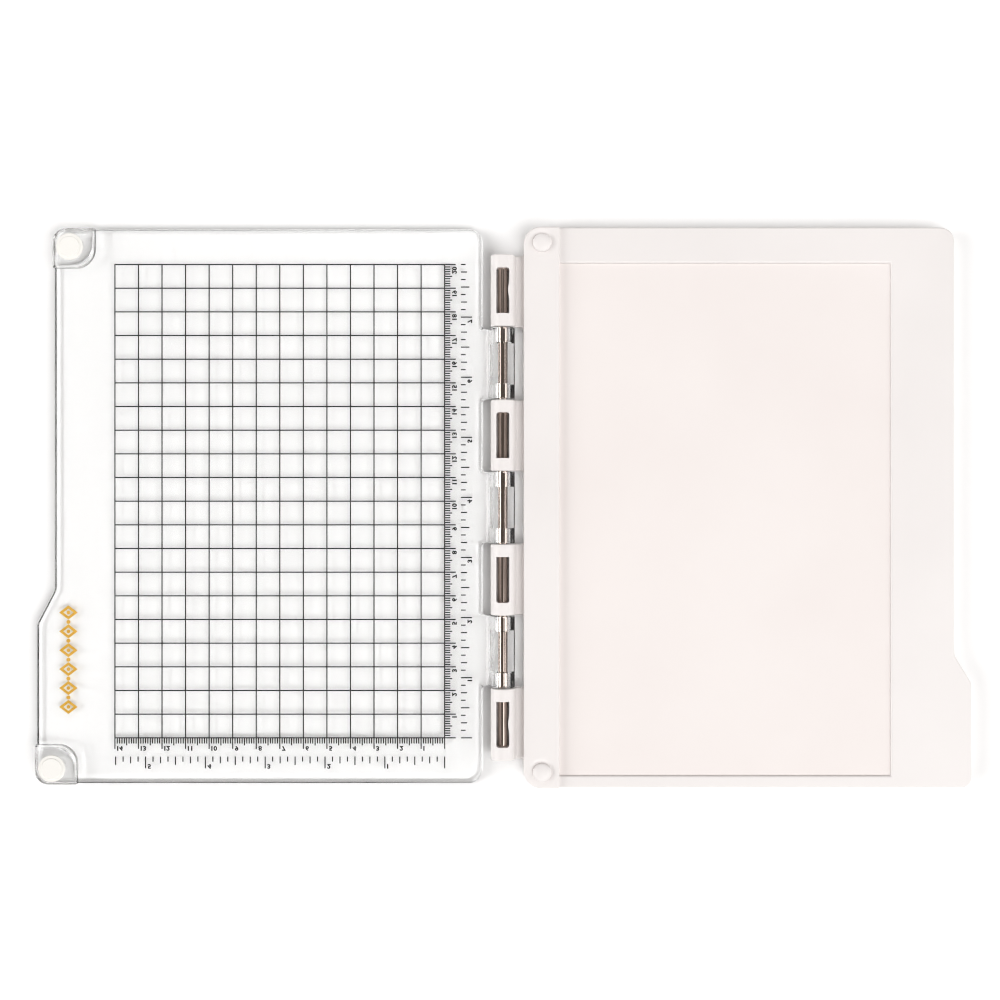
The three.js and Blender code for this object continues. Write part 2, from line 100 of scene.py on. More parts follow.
WINDOW_LENGTH = 19.2
WINDOW_WIDTH = 5.45
WINDOW_DEPTH = 2.9
WINDOW_CORNER = 1.0
BULGE_DEPTH = 0.5
BULGE_LENGTH = 9.2
BULGE_FROM_END = 9.4
LID_SLOT_LENGTH = 17.4
LID_FLAT_HEIGHT = 11.6
LID_FILLET = 3.0

WEB_BOTTOM = 2.9
WEB_TOP = 6.2
WEB_FILLET = 1.5
SPINE_FILLET = 1.2
WEB_CORNER = 1.0
LID_NOTCH_FILLET = 1.75
LID_HEEL = 2.4
LID_KEEL = (2.2, 4.2)
LID_TOE = 2.5
PLUG_RADIUS = 3.0
PLUG_DEPTH = 2.5

# Roundings of the lower and upper rims of the base's plates
TRAY_RIMS = (0.4, 0.8)
SPINE_RIMS = (0.3, 0.7)
COVER_RIMS = (0.25, 0.1)
MAT_RIMS = (0.02, 0.03)

DECK_TOP = 8.0
SPINE_TOP = 10.1
SPINE_EDGE = 23.75
SPINE_CORNER = 7.3
BASE_EDGE = 190.3
BASE_CORNER = 6.0
TAB_CORNER = 4.2
TAB_RADIUS = 5.0
# Y where each finger tab's sloping side leaves the tab and where it meets the straight edge
BASE_TAB = (-74.1, -62.3)
LID_TAB = (-49.4, -35.1)
# Small insets that keep faces of joined or cut shapes from lying in one plane
SPINE_INSET = 0.01
BOSS_INSET = 0.02
KEEL_INSET = 0.02

SHEET_MARGIN = 0.25
SHEET_CORNER = 0.6
MAT_GAP = 0.03
POCKET_FLOOR = 5.5
POCKET_EDGE = 0.9
POCKET_EDGE_AT_SPINE = 0.15
# How far the pocket's wall stands back at each height
POCKET_STEPS = (
    (0, POCKET_FLOOR),
    (0, DECK_TOP - 0.75),
    (0.1, DECK_TOP - 0.4),
    (0.35, DECK_TOP - 0.14),
    (0.65, DECK_TOP - 0.03),
    (POCKET_EDGE, DECK_TOP),
    (POCKET_EDGE, DECK_TOP + 1),
)
DISH_RADIUS = 6.3
DISH_FLAT = 3.4
DISH_DEPTH = 0.35
BUMPER_HOLE = 2.1
BUMPER_HOLE_BOTTOM = 5.5
BUMPER_STEM = 2.0

COVER_INSET = 2.4
RELIEF_INSET = 7.0
RELIEF_DEPTH = 1.5
SCREW_POST = 4.0
SCREW_HOLE = 1.35
SCREW_HOLE_TOP = 6.65
SCREW_HEAD_ROOM = 2.7
SCREW_HEAD = 0.75
SCREW_CROWN = 0.35
SCREW_SHANK = 1.25
SCREW_SLOT = (1.4, 0.3)
# Hollows above the relief: where they run on each side of the middle, then their X span and top
HOLLOW_REACH = (10, 78)
SPINE_HOLLOW = (12, 20.5, 8.35)
MARGIN_HOLLOW = (168, 185, 6.25)

LID_THICKNESS = 4.0
LID_EDGE = 190.0
LID_CORNER = 5.7
LID_HINGE_CORNER = 5.75
LID_RIM = 1.0
LID_UNDER_RIM = 1.9
BOSS_TOP = 7.0
BOSS_WIDTH = 17.7
BOSS_LENGTH = 16.9
BOSS_INNER_CORNER = 8.2
BOSS_WALL = 1.6
BOSS_POCKET_CORNER = 9.0
BOSS_POCKET_HEIGHT = 2.4
BOSS_RIM = 0.4
PAD_GAP = 0.04
PAD_HOLE = 2.5
PAD_HOLE_BOTTOM = 3.5
PAD_STEM = 2.4
PAD_RIM_TOP = BOSS_TOP + 0.5
PAD_DISC = 4.3
PAD_CROWN = 0.22

# ---------------------------------------------------------------- outlines

# Straight length left beside a corner that has no room for its whole radius
ROUNDING_SLACK = 0.12


def arc(centre, radius, start, end, steps):
    """Points on an arc, both ends included."""
    turn = (end - start) / steps
    return [
        (centre[0] + radius * math.cos(start + turn * i), centre[1] + radius * math.sin(start + turn * i))
        for i in range(steps + 1)
    ]


def rounded(corners, steps=10):
    """Outline through anticlockwise corners (x, y, radius), rounded as far as there is room."""
    outline = []
    for i, (x, y, radius) in enumerate(corners):
        corner = Vector((x, y))
        before, after = corners[i - 1], corners[(i + 1) % len(corners)]
        back, ahead = Vector(before[:2]) - corner, Vector(after[:2]) - corner
        room = min(back.length, ahead.length) - ROUNDING_SLACK
        back, ahead = back.normalized(), ahead.normalized()
        half = math.acos(max(-1.0, min(1.0, back.dot(ahead)))) / 2
        radius = min(radius, room * math.tan(half))
        turn = (math.pi - 2 * half) * (-1 if back.cross(ahead) > 0 else 1)
        centre = corner + (back + ahead).normalized() * radius / math.sin(half)
        touch = corner + back * radius / math.tan(half) - centre
        start = math.atan2(touch.y, touch.x)
        outline += arc(centre, radius, start, start + turn, steps)
    return outline


def inset(corners, distance):
    """The same corners with every edge moved inward, or outward by a negative distance."""
    moved = []
    for i, (x, y, radius) in enumerate(corners):
        corner = Vector((x, y))
        before = (corner - Vector(corners[i - 1][:2])).normalized()
        after = (Vector(corners[(i + 1) % len(corners)][:2]) - corner).normalized()
        normals = Vector((-before.y, before.x)), Vector((-after.y, after.x))
        shift = (normals[0] + normals[1]) * distance / (1 + normals[0].dot(normals[1]))
        change = -distance if before.cross(after) > 0 else distance
        moved.append((x + shift.x, y + shift.y, max(radius + change, 0.02)))
    return moved


def offset_loop(points, distance):
    """A dense anticlockwise loop moved inward along its own normals."""
    moved = []
    for i, point in enumerate(points):
        before = (Vector(point) - Vector(points[i - 1])).normalized()
        after = (Vector(points[(i + 1) % len(points)]) - Vector(point)).normalized()
        normals = Vector((-before.y, before.x)), Vector((-after.y, after.x))
        shift = (normals[0] + normals[1]) * distance / max(1 + normals[0].dot(normals[1]), 0.5)
        moved.append((point[0] + shift.x, point[1] + shift.y))
    return moved


# ---------------------------------------------------------------- meshes

SHARP_ANGLE = math.radians(32)


def make_object(name, points, faces):
    """A mesh object from points in millimetres, with its faces turned outward."""
    mesh = bpy.data.meshes.new(name)
    mesh.from_pydata([Vector(p) * MM for p in points], [], faces)
    work = bmesh.new()
    work.from_mesh(mesh)
    bmesh.ops.recalc_face_normals(work, faces=work.faces)
    work.to_mesh(mesh)
    work.free()
    piece = bpy.data.objects.new(name, mesh)
    bpy.context.scene.collection.objects.link(piece)
    return piece


def loft(name, rings):
    """A closed body through rings of equally many points; a ring of one point is a pole."""
    points, starts = [], []
    for ring in rings:
        starts.append(len(points))
        points += ring
    faces = []
    for k in range(len(rings) - 1):
        a, b = starts[k], starts[k + 1]
        count = max(len(rings[k]), len(rings[k + 1]))
        for i in range(count):
            j = (i + 1) % count
            if len(rings[k]) == 1:
                faces.append((a, b + i, b + j))
            elif len(rings[k + 1]) == 1:
                faces.append((a + i, a + j, b))
            else:
                faces.append((a + i, a + j, b + j, b + i))
    for k in (0, len(rings) - 1):
        if len(rings[k]) > 1:
            faces.append(tuple(range(starts[k], starts[k] + len(rings[k]))))
    return make_object(name, points, faces)


def rim_steps(low, high, under, over, steps=5):
    """(inset, height) pairs up a wall whose lower and upper rims are rounded."""
    pairs = []
    for i in range(steps + 1):
        turn = math.pi / 2 * i / steps
        pairs.append((under * (1 - math.sin(turn)), low + under * (1 - math.cos(turn))))
    for i in range(steps + 1):
        turn = math.pi / 2 * i / steps
        pairs.append((over * (1 - math.cos(turn)), high - over * (1 - math.sin(turn))))
    return pairs


def rounded_plate(name, corners, low, high, under, over):
    """A flat plate with rounded corners and rounded rims."""
    return loft(name, [
        [(x, y, z) for x, y in rounded(inset(corners, d))]
        for d, z in rim_steps(low, high, under, over)
    ])


def straight_plate(name, outline, low, high):
    """A plate with upright walls."""
    return loft(name, [[(x, y, z) for x, y in outline] for z in (low, high)])


def block(name, low, high):
    """A box between two opposite corners."""
    outline = [(low[0], low[1]), (high[0], low[1]), (high[0], high[1]), (low[0], high[1])]
    return straight_plate(name, outline, low[2], high[2])


def turned(name, centre, profile, sides=64):
    """A body turned about an upright line; profile points are (radius, height)."""
    rings = []
    for radius, height in profile:
        if radius == 0:
            rings.append([(centre[0], centre[1], height)])
        else:
            circle = arc(centre, radius, 0, 2 * math.pi, sides)[:-1]
            rings.append([(x, y, height) for x, y in circle])
    return loft(name, rings)


def turned_on_hinge(name, profile, sides=64):
    """A body turned about the hinge axis; profile points are (radius, place along Y)."""
    rings = []
    for radius, place in profile:
        if radius == 0:
            rings.append([(0, place, AXIS_HEIGHT)])
        else:
            circle = arc((0, AXIS_HEIGHT), radius, 0, 2 * math.pi, sides)[:-1]
            rings.append([(x, place, z) for x, z in circle])
    return loft(name, rings)


def prism_along_hinge(profile, low, high, rim):
    """A body of one (x, z) profile that runs along the hinge, with rounded end rims."""
    return loft("prism", [
        [(x, y, z) for x, z in offset_loop(profile, d)]
        for d, y in rim_steps(low, high, rim, rim, 4)
    ])


def apply_modifiers(piece):
    """Replaces a piece's mesh by what its modifiers make of it."""
    bpy.context.view_layer.update()
    graph = bpy.context.evaluated_depsgraph_get()
    result = bpy.data.meshes.new_from_object(piece.evaluated_get(graph))
    piece.modifiers.clear()
    piece.data = result


def combine(piece, tools, operation):
    """Joins tools to a piece, or cuts them out of it, and removes them."""
    for tool in tools:
        modifier = piece.modifiers.new("combine", "BOOLEAN")
        modifier.operation = operation
        modifier.solver = "MANIFOLD"
        modifier.object = tool
    apply_modifiers(piece)
    for tool in tools:
        bpy.data.objects.remove(tool)
    return piece


def join(piece, *tools):
    return combine(piece, tools, "UNION")


def cut(piece, *tools):
    return combine(piece, tools, "DIFFERENCE")


def finish_surface(piece, material):
    """Smooth shading with sharp edges kept, flats that stay flat, and one material."""
    mesh = piece.data
    mesh.shade_smooth()
    mesh.set_sharp_from_angle(angle=SHARP_ANGLE)
    weighted = piece.modifiers.new("flat_faces", "WEIGHTED_NORMAL")
    weighted.keep_sharp = True
    weighted.weight = 100
    mesh.materials.clear()
    mesh.materials.append(material)
    return piece


def fit_piece(piece, body, nodes):
    """Puts a finished piece on its CAD body, in place of the nodes that it stands for."""
    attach(piece, body)
    if nodes:
        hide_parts(*nodes)
    return piece


# ---------------------------------------------------------------- materials


def node_material(name):
    """A new material with one surface shader and nothing else."""
    material = bpy.data.materials.new(name)
    material.use_nodes = True
    tree = material.node_tree
    tree.nodes.clear()
    output = tree.nodes.new("ShaderNodeOutputMaterial")
    shader = tree.nodes.new("ShaderNodeBsdfPrincipled")
    tree.links.new(shader.outputs["BSDF"], output.inputs["Surface"])
    return material, tree, shader


def noise(tree, scale, detail, stretch=(1, 1, 1)):
    """Noise in the piece's own space, so that it stays on the piece as it moves."""
    place = tree.nodes.new("ShaderNodeTexCoord")
    mapping = tree.nodes.new("ShaderNodeMapping")
    mapping.inputs["Scale"].default_value = stretch
    texture = tree.nodes.new("ShaderNodeTexNoise")
    texture.inputs["Scale"].default_value = scale
    texture.inputs["Detail"].default_value = detail
    tree.links.new(place.outputs["Object"], mapping.inputs["Vector"])
    tree.links.new(mapping.outputs["Vector"], texture.inputs["Vector"])
    return texture.outputs["Fac"]


def ramp(tree, source, low, high, start=0.35, end=0.65):
    """Maps a 0 to 1 value onto a span of numbers or colours."""
    if isinstance(low, tuple):
        node = tree.nodes.new("ShaderNodeValToRGB")
        node.color_ramp.elements[0].position = start
        node.color_ramp.elements[0].color = (*low, 1)
        node.color_ramp.elements[1].position = end
        node.color_ramp.elements[1].color = (*high, 1)
        tree.links.new(source, node.inputs["Fac"])
        return node.outputs["Color"]
    node = tree.nodes.new("ShaderNodeMapRange")
    node.inputs["From Min"].default_value = start
    node.inputs["From Max"].default_value = end
    node.inputs["To Min"].default_value = low
    node.inputs["To Max"].default_value = high
    tree.links.new(source, node.inputs["Value"])
    return node.outputs["Result"]


def add_bump(tree, shader, source, depth):
    """Fine relief of a depth in metres."""
    bump = tree.nodes.new("ShaderNodeBump")
    bump.inputs["Strength"].default_value = 1.0
    bump.inputs["Distance"].default_value = depth
    tree.links.new(source, bump.inputs["Height"])
    tree.links.new(bump.outputs["Normal"], shader.inputs["Normal"])


def moulded_plastic(name, low, high, rough, grain_scale=1800, grain_depth=0.000012):
    """White plastic: faint colour drift, uneven gloss and a fine moulded grain."""
    material, tree, shader = node_material(name)
    colour = ramp(tree, noise(tree, 14, 4), low, high)
    tree.links.new(colour, shader.inputs["Base Color"])
    gloss = ramp(tree, noise(tree, 90, 5), rough[0], rough[1])
    tree.links.new(gloss, shader.inputs["Roughness"])
    shader.inputs["IOR"].default_value = 1.5
    add_bump(tree, shader, noise(tree, grain_scale, 2), grain_depth)
    return material


def metal(name, low, high, rough, stretch, scale=600, depth=0.000004):
    """Steel with fine drawn lines along one direction."""
    material, tree, shader = node_material(name)
    lines = noise(tree, scale, 4, stretch)
    tree.links.new(ramp(tree, lines, low, high), shader.inputs["Base Color"])
    tree.links.new(ramp(tree, lines, rough[0], rough[1]), shader.inputs["Roughness"])
    shader.inputs["Metallic"].default_value = 1.0
    add_bump(tree, shader, lines, depth)
    return material


def clear_acrylic(name):
    """Clear acrylic with a faintly uneven polish."""
    material, tree, shader = node_material(name)
    shader.inputs["Base Color"].default_value = (0.966, 0.968, 0.968, 1)
    shader.inputs["Transmission Weight"].default_value = 1.0
    shader.inputs["IOR"].default_value = 1.49
    polish = ramp(tree, noise(tree, 60, 3), 0.0, 0.012)
    tree.links.new(polish, shader.inputs["Roughness"])
    add_bump(tree, shader, noise(tree, 30, 2), 0.000004)
    return material


def ink(name, low, high, rough):
    """Screen ink: slightly uneven cover and gloss."""
    material, tree, shader = node_material(name)
    cover = noise(tree, 900, 4)
    tree.links.new(ramp(tree, cover, low, high), shader.inputs["Base Color"])
    tree.links.new(ramp(tree, cover, rough[0], rough[1]), shader.inputs["Roughness"])
    add_bump(tree, shader, noise(tree, 5000, 2), 0.000003)
    return material


SHELL = moulded_plastic("white_shell", (0.745, 0.712, 0.70), (0.77, 0.737, 0.725), (0.36, 0.46))
MAT = moulded_plastic("work_mat", (0.765, 0.71, 0.69), (0.785, 0.735, 0.715), (0.5, 0.6), 2600, 0.00001)
PAD = moulded_plastic("white_pad", (0.80, 0.785, 0.75), (0.83, 0.815, 0.78), (0.38, 0.5))
RUBBER = moulded_plastic("foot_rubber", (0.62, 0.60, 0.575), (0.68, 0.66, 0.635), (0.7, 0.85), 3000, 0.00002)
ROD_STEEL = metal(
    "polished_rod", (0.37, 0.305, 0.27), (0.45, 0.38, 0.34), (0.05, 0.12), (1, 0.02, 1), 3000, 0.000001
)
SHEET_STEEL = metal("sheet_steel", (0.45, 0.45, 0.45), (0.58, 0.58, 0.58), (0.35, 0.5), (1, 0.03, 1))
SCREW_STEEL = metal("screw_steel", (0.5, 0.5, 0.51), (0.62, 0.62, 0.63), (0.25, 0.4), (1, 1, 1), 1500)
ACRYLIC = clear_acrylic("clear_acrylic")
BLACK_INK = ink("print_ink", (0.006, 0.006, 0.006), (0.012, 0.012, 0.012), (0.45, 0.6))
GOLD_INK = ink("gold_ink", (0.56, 0.31, 0.025), (0.66, 0.38, 0.04), (0.3, 0.45))

# ---------------------------------------------------------------- hinge shapes


def knuckle_span(place):
    """Where a knuckle starts, ends and has its middle along the hinge."""
    pitch = HINGE_LENGTH / KNUCKLE_COUNT
    top = HINGE_LENGTH / 2 - place * pitch
    high = top if place == 0 else top - KNUCKLE_GAP / 2
    low = top - pitch if place == KNUCKLE_COUNT - 1 else top - pitch + KNUCKLE_GAP / 2
    return low, high, top - pitch / 2


def base_knuckle_profile():
    """A round barrel that runs by two fillets and a flat web to the spine wall."""
    fillet_height = WEB_TOP + WEB_FILLET
    reach = KNUCKLE_RADIUS + WEB_FILLET
    drop = AXIS_HEIGHT - fillet_height
    fillet_x = math.sqrt(reach**2 - drop**2)
    touch = math.atan2(-drop, fillet_x)
    wall_centre = (LEAF_EDGE - SPINE_FILLET, WEB_TOP + SPINE_FILLET)
    in_spine = LEAF_EDGE + LEAF_OVERLAP
    profile = [(in_spine, WEB_BOTTOM), (in_spine, wall_centre[1])]
    profile += arc(wall_centre, SPINE_FILLET, 0, -math.pi / 2, 6)
    profile += arc((fillet_x, fillet_height), WEB_FILLET, -math.pi / 2, touch - math.pi, 8)
    profile += arc((0, AXIS_HEIGHT), KNUCKLE_RADIUS, touch, 1.5 * math.pi, 56)[1:]
    return profile


def lid_knuckle_profile():
    """A barrel with a wide fillet down to the lid's top and an upright wall on its far side."""
    in_plate = -LEAF_EDGE - LEAF_OVERLAP
    centre_z = LID_THICKNESS + LID_FILLET
    reach = KNUCKLE_RADIUS + LID_FILLET
    centre_x = -math.sqrt(reach**2 - (AXIS_HEIGHT - centre_z) ** 2)
    touch = math.atan2(centre_z - AXIS_HEIGHT, centre_x) + 2 * math.pi
    barrel = arc((0, AXIS_HEIGHT), KNUCKLE_RADIUS, 0, touch, 56)
    fillet = arc((centre_x, centre_z), LID_FILLET, touch - math.pi, -math.pi / 2, 8)
    underside = [(in_plate, 0), (-LID_HEEL, 0), LID_KEEL, (KNUCKLE_RADIUS, LID_TOE)]
    return [*underside, *barrel, *fillet[1:], (in_plate, LID_THICKNESS)]


def web_foot(span):
    """Rounds off the inside corners between the spine's wall and a knuckle's web."""
    in_spine = LEAF_EDGE + LEAF_OVERLAP
    fillet_x = LEAF_EDGE - WEB_CORNER
    below, above = span[0] - WEB_CORNER, span[1] + WEB_CORNER
    upper = arc((fillet_x, above), WEB_CORNER, -math.pi / 2, 0, 8)
    lower = arc((fillet_x, below), WEB_CORNER, math.pi / 2, 0, 8)
    outline = [*upper, (in_spine, above), (in_spine, below), *lower[::-1]]
    return straight_plate("web_foot", outline, WEB_BOTTOM, WEB_TOP - 0.05)


def window_cutter(place):
    """Cuts a knuckle's window: rounded at its outer end, with a bulge in the outermost two."""
    middle = knuckle_span(place)[2]
    half = WINDOW_WIDTH / 2
    low = middle - WINDOW_LENGTH / 2
    high = middle + WINDOW_LENGTH / 2
    sharp = 0.12
    low_corner, high_corner = (sharp, WINDOW_CORNER) if middle > 0 else (WINDOW_CORNER, sharp)
    outline = rounded([
        (-half, low, low_corner),
        (half, low, low_corner),
        (half, high, high_corner),
        (-half, high, high_corner),
    ])
    if place in (0, KNUCKLE_COUNT - 1):
        outline = with_bulge(outline, half, high - BULGE_FROM_END)
    return straight_plate("window", outline, AXIS_HEIGHT - WINDOW_DEPTH, AXIS_HEIGHT + 2 * KNUCKLE_RADIUS)


def with_bulge(outline, half, middle):
    """Adds a low smooth hump to the spine side of a window's outline."""
    steps = 16
    hump = []
    for i in range(steps + 1):
        along = i / steps - 0.5
        hump.append((half - BULGE_DEPTH * math.cos(math.pi * along) ** 2, middle + along * BULGE_LENGTH))
    half_way = len(outline) // 2
    return outline[:half_way] + hump + outline[half_way:]


def end_core_cutters(span, plug_at_low, plug_at_high):
    """Cores that open a base knuckle on both sides of its window from below, short of a plug."""
    low, high, middle = span
    start = low + PLUG_DEPTH + 1 if plug_at_low else low - 1
    end = high - PLUG_DEPTH - 1 if plug_at_high else high + 1
    half = WINDOW_LENGTH / 2
    return [
        block("core", (-BORE_RADIUS, start, -1), (BORE_RADIUS, middle - half, AXIS_HEIGHT)),
        block("core", (-BORE_RADIUS, middle + half, -1), (BORE_RADIUS, end, AXIS_HEIGHT)),
    ]


def bore_cutter(low, high):
    """Cuts the rod's bore right through a knuckle."""
    start, end = low - 1, high + 1
    return turned_on_hinge("bore", [(0, start), (BORE_RADIUS, start), (BORE_RADIUS, end), (0, end)])


def base_knuckle(place):
    """One white knuckle with its web, window, bore and cores."""
    low, high, _ = span = knuckle_span(place)
    last = KNUCKLE_COUNT - 1
    knuckle = prism_along_hinge(base_knuckle_profile(), low, high, KNUCKLE_RIM)
    join(knuckle, web_foot(span))
    cutters = end_core_cutters(span, place == last, place == 0)
    return cut(knuckle, window_cutter(place), bore_cutter(low, high), *cutters)


def lid_knuckle(place):
    """One clear knuckle: flattened, slotted down to the rod and cored from below."""
    low, high, middle = knuckle_span(place)
    half = LID_SLOT_LENGTH / 2
    top = AXIS_HEIGHT + 2 * KNUCKLE_RADIUS
    wide = 2 * KNUCKLE_RADIUS
    knuckle = prism_along_hinge(lid_knuckle_profile(), low, high, LID_KNUCKLE_RIM)
    flat = block("flat", (-wide, middle - half, LID_FLAT_HEIGHT), (wide, middle + half, top))
    slot = block("slot", (-BORE_RADIUS, middle - half, AXIS_HEIGHT), (BORE_RADIUS, middle + half, top))
    heel = KEEL_INSET - LID_HEEL
    keel = block("keel", (heel, middle - half, -1), (wide, middle + half, LID_KEEL[1]))
    return cut(knuckle, flat, slot, keel, bore_cutter(low, high))


# ---------------------------------------------------------------- base board


def base_corners():
    """The board's outline, without its knuckles."""
    return [
        (LEAF_EDGE, -HALF_LENGTH, SPINE_CORNER),
        (TAB_EDGE, -HALF_LENGTH, TAB_CORNER),
        (TAB_EDGE, BASE_TAB[0], TAB_RADIUS),
        (BASE_EDGE, BASE_TAB[1], TAB_RADIUS),
        (BASE_EDGE, HALF_LENGTH, BASE_CORNER),
        (LEAF_EDGE, HALF_LENGTH, SPINE_CORNER),
    ]


def spine_bar():
    """The raised bar along the hinge."""
    sharp = 0.5
    corners = [
        (LEAF_EDGE, -HALF_LENGTH, SPINE_CORNER),
        (SPINE_EDGE, -HALF_LENGTH, sharp),
        (SPINE_EDGE, HALF_LENGTH, sharp),
        (LEAF_EDGE, HALF_LENGTH, SPINE_CORNER),
    ]
    return rounded_plate("spine", inset(corners, SPINE_INSET), BASE_BOTTOM + 1, SPINE_TOP, *SPINE_RIMS)


def sheet_corners(grow, towards_hinge):
    """The outline of the work sheets, grown by one amount towards the hinge and another elsewhere."""
    left, right = MAT_LOW.x - towards_hinge, MAT_HIGH.x + grow
    low, high = MAT_LOW.y - grow, MAT_HIGH.y + grow
    places = ((left, low), (right, low), (right, high), (left, high))
    return [(x, y, SHEET_CORNER) for x, y in places]


def work_pocket():
    """The pocket for the work sheets, its upper edge a soft slope except beside the spine."""
    rings = []
    for grow, height in POCKET_STEPS:
        at_spine = min(grow, POCKET_EDGE_AT_SPINE)
        corners = sheet_corners(SHEET_MARGIN + grow, SHEET_MARGIN + at_spine)
        rings.append([(x, y, height) for x, y in rounded(corners, 4)])
    return loft("pocket", rings)


def underside_cutters():
    """The rebate for the cover, the relief above it with posts for the screws, and the hollows."""
    corners = base_corners()
    top = COVER_HIGH.z
    rebate = straight_plate("rebate", rounded(inset(corners, COVER_INSET)), 0, top)
    relief = straight_plate("relief", rounded(inset(corners, RELIEF_INSET)), top - 0.5, top + RELIEF_DEPTH)
    posts = []
    for name in nodes_named("cover_screw"):
        post = [(0, 0), (SCREW_POST, 0), (SCREW_POST, DECK_TOP + 1), (0, DECK_TOP + 1)]
        posts.append(turned("post", node_centre(name)[:2], post, 32))
    cut(relief, *posts)
    hollows = []
    for side in (-1, 1):
        low, high = sorted(side * reach for reach in HOLLOW_REACH)
        for inner, outer, ceiling in (SPINE_HOLLOW, MARGIN_HOLLOW):
            hollows.append(block("hollow", (inner, low, top - 0.5), (outer, high, ceiling)))
    return [rebate, relief, *hollows]


def screw_hole(place, low, high):
    """A blind hole for a cover screw."""
    return turned("hole", place, [(0, low), (SCREW_HOLE, low), (SCREW_HOLE, high), (0, high)], 32)


def bumper_seat(place):
    """A peg hole in the middle of a shallow dish with a soft rim."""
    seat = SPINE_TOP - DISH_DEPTH
    steps = 12
    slope = []
    for i in range(steps + 1):
        rise = DISH_DEPTH * (1 - math.cos(math.pi * i / steps)) / 2
        slope.append((DISH_FLAT + (DISH_RADIUS - DISH_FLAT) * i / steps, seat + rise + 0.002))
    above = SPINE_TOP + 1
    hole = [(0, BUMPER_HOLE_BOTTOM), (BUMPER_HOLE, BUMPER_HOLE_BOTTOM), (BUMPER_HOLE, seat)]
    return turned("seat", place, [*hole, *slope, (DISH_RADIUS, above), (0, above)])


def plug_seat(side):
    """The seat for a rod plug at one end of the hinge, open to the outside."""
    half = HINGE_LENGTH / 2
    inner, outer = side * (half - PLUG_DEPTH), side * (half + 1)
    disc = [(0, inner), (PLUG_RADIUS, inner), (PLUG_RADIUS, outer), (0, outer)]
    return turned_on_hinge("plug_seat", disc)


def base_tray():
    """The white board with its spine and its four knuckles."""
    tray = rounded_plate("tray", base_corners(), BASE_BOTTOM, DECK_TOP, *TRAY_RIMS)
    join(tray, spine_bar())
    join(tray, *[base_knuckle(place) for place in range(0, KNUCKLE_COUNT, 2)])
    cut(tray, work_pocket(), plug_seat(-1), plug_seat(1))
    cut(tray, *underside_cutters())
    screws = [node_centre(name)[:2] for name in nodes_named("cover_screw")]
    bumpers = [node_centre(name)[:2] for name in nodes_named("spine_bumper")]
    holes = [screw_hole(place, COVER_HIGH.z - 1, SCREW_HOLE_TOP) for place in screws]
    cut(tray, *holes, *[bumper_seat(place) for place in bumpers])
    tray.name = "base_tray_shell"
    finish_surface(tray, SHELL)
    return fit_piece(tray, "base", ["base_tray"])


def bottom_cover():
    """The panel let into the underside, with a stepped hole for each screw."""
    corners = inset(base_corners(), COVER_INSET + 0.1)
    cover = rounded_plate("bottom_cover_panel", corners, COVER_LOW.z, COVER_HIGH.z, *COVER_RIMS)
    holes = []
    for name in nodes_named("cover_screw"):
        low, _ = node_box(name)
        seat = low.z + SCREW_HEAD
        head_room = [(0, 0), (SCREW_HEAD_ROOM, 0), (SCREW_HEAD_ROOM, seat)]
        above = COVER_HIGH.z + 1
        shank_room = [(SCREW_HOLE, seat), (SCREW_HOLE, above), (0, above)]
        holes.append(turned("hole", node_centre(name)[:2], [*head_room, *shank_room], 32))
    cut(cover, *holes)
    finish_surface(cover, SHELL)
    return fit_piece(cover, "base", ["bottom_cover"])


def work_mat():
    """The white face sheet in the pocket."""
    grow = SHEET_MARGIN - MAT_GAP
    mat = rounded_plate("work_mat_sheet", sheet_corners(grow, grow), MAT_LOW.z, MAT_HIGH.z, *MAT_RIMS)
    finish_surface(mat, MAT)
    return fit_piece(mat, "base", ["work_mat"])


def hinge_rod():
    """The steel rod, chamfered at both ends."""
    chamfer = 0.4
    low, high, inner = ROD_LOW.y, ROD_HIGH.y, ROD_RADIUS - chamfer
    near = [(0, low), (inner, low), (ROD_RADIUS, low + chamfer)]
    far = [(ROD_RADIUS, high - chamfer), (inner, high), (0, high)]
    rod = turned_on_hinge("hinge_rod_steel", near + far, 96)
    finish_surface(rod, ROD_STEEL)
    fit_piece(rod, "base", ["hinge_rod"])


def rod_plug(name):
    """A disc with rounded rims that closes one end of the rod's bore."""
    low, high = node_box(name)
    radius = (high.x - low.x) / 2
    rims = [(radius - d, y) for d, y in rim_steps(low.y, high.y, 0.3, 0.3, 4)]
    plug = turned_on_hinge(name + "_disc", [(0, low.y), *rims, (0, high.y)])
    finish_surface(plug, SHELL)
    fit_piece(plug, "base", [name])


def bumper(name):
    """A peg with a wide domed head."""
    low, high = node_box(name)
    radius = (high.x - low.x) / 2
    seat = SPINE_TOP - DISH_DEPTH
    shoulder = seat + 0.9
    quarter = arc((0, 0), 1, 0, math.pi / 2, 12)[:-1]
    dome = [(radius * x, shoulder + (high.z - shoulder) * z) for x, z in quarter]
    stem = [(0, low.z), (BUMPER_STEM - 0.3, low.z), (BUMPER_STEM, low.z + 0.3), (BUMPER_STEM, seat)]
    edge = [(radius - 0.15, seat), (radius, seat + 0.15)]
    piece = turned(name + "_peg", node_centre(name)[:2], [*stem, *edge, *dome, (0, high.z)])
    finish_surface(piece, SHELL)
    fit_piece(piece, "base", [name])


def foot(name):
    """A rubber disc, rounded below."""
    low, high = node_box(name)
    radius = (high.x - low.x) / 2
    rims = [(radius - d, z) for d, z in rim_steps(low.z, high.z, 0.45, 0.05)]
    piece = turned(name + "_disc", node_centre(name)[:2], [(0, low.z), *rims, (0, high.z)])
    finish_surface(piece, RUBBER)
    fit_piece(piece, "base", [name])


